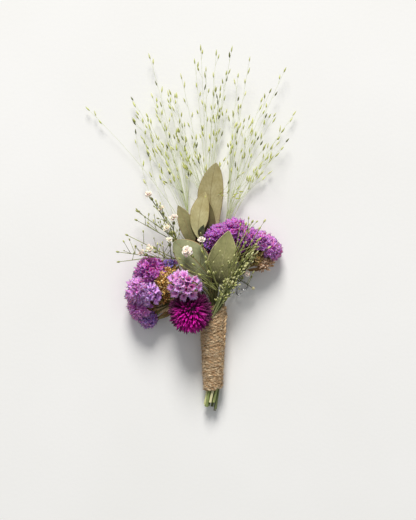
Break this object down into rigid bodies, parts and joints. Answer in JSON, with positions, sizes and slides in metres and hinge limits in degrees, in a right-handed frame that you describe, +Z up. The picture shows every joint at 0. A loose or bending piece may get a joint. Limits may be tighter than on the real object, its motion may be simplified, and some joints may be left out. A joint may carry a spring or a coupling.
{
  "type": "boutonniere",
  "caption": "Dried-flower boutonniere lying flat: statice heads, a round magenta bloom, eucalyptus leaves, white filler flowers and a fan of fine grass, bound with jute twine.",
  "frame": {"origin": "middle of the bounding box in X and Y, on the surface that the bunch lies on", "axes": "+Y runs from the cut stems along the bunch to the tips of the grass, +Z is up from the surface through the flowers"},
  "size_m": [0.0964, 0.1654, 0.027],
  "materials": {
    "twine": "coarse two-ply jute, dull and hairy",
    "steel": "bright bent wire",
    "purple_petals": "papery dried calyces, dull",
    "violet_petals": "papery dried calyces, dull",
    "lilac_petals": "papery dried calyces, dull",
    "magenta_petals": "dry pointed bracts, faint sheen",
    "white_petals": "dull cream petals",
    "leaf_pale": "matt dried leaf",
    "leaf_green": "matt dried leaf",
    "grass": "pale dull stalks and husks",
    "green_stalk": "dull dried stalk",
    "dry_stalk": "dull brown dried stalk"
  },
  "bodies": {
    "root": {"twine_wrap": "twine", "steel_pin": "steel", "left_statice_heads": "purple_petals", "left_statice_stem": "dry_stalk", "blue_statice_heads": "violet_petals", "blue_statice_stem": "green_stalk", "lilac_statice_heads": "lilac_petals", "lilac_statice_stem": "green_stalk", "right_statice_heads": "purple_petals", "right_statice_stem": "dry_stalk", "bloom_head": "magenta_petals", "bloom_stem": "green_stalk", "grass_left": "grass", "grass_middle": "grass", "grass_right": "grass", "babys_breath_left_flower_1": "white_petals", "babys_breath_left_flower_2": "white_petals", "babys_breath_left_flower_3": "white_petals", "babys_breath_left_flower_4": "white_petals", "babys_breath_left_flower_5": "white_petals", "babys_breath_left_flower_6": "white_petals", "babys_breath_left_flower_7": "white_petals", "babys_breath_left_stems": "green_stalk", "babys_breath_front_flower_1": "white_petals", "babys_breath_front_flower_2": "white_petals", "babys_breath_front_flower_3": "white_petals", "babys_breath_front_stems": "green_stalk", "eucalyptus_front_twig": "dry_stalk", "eucalyptus_front_leaf_left": "leaf_green", "eucalyptus_front_leaf_right": "leaf_green", "eucalyptus_back_twig": "dry_stalk", "eucalyptus_back_leaf_tall": "leaf_pale", "eucalyptus_back_leaf_low": "leaf_pale", "eucalyptus_back_leaf_small": "leaf_pale", "eucalyptus_back_leaf_bud": "leaf_green"}
  },
  "joints": []
}
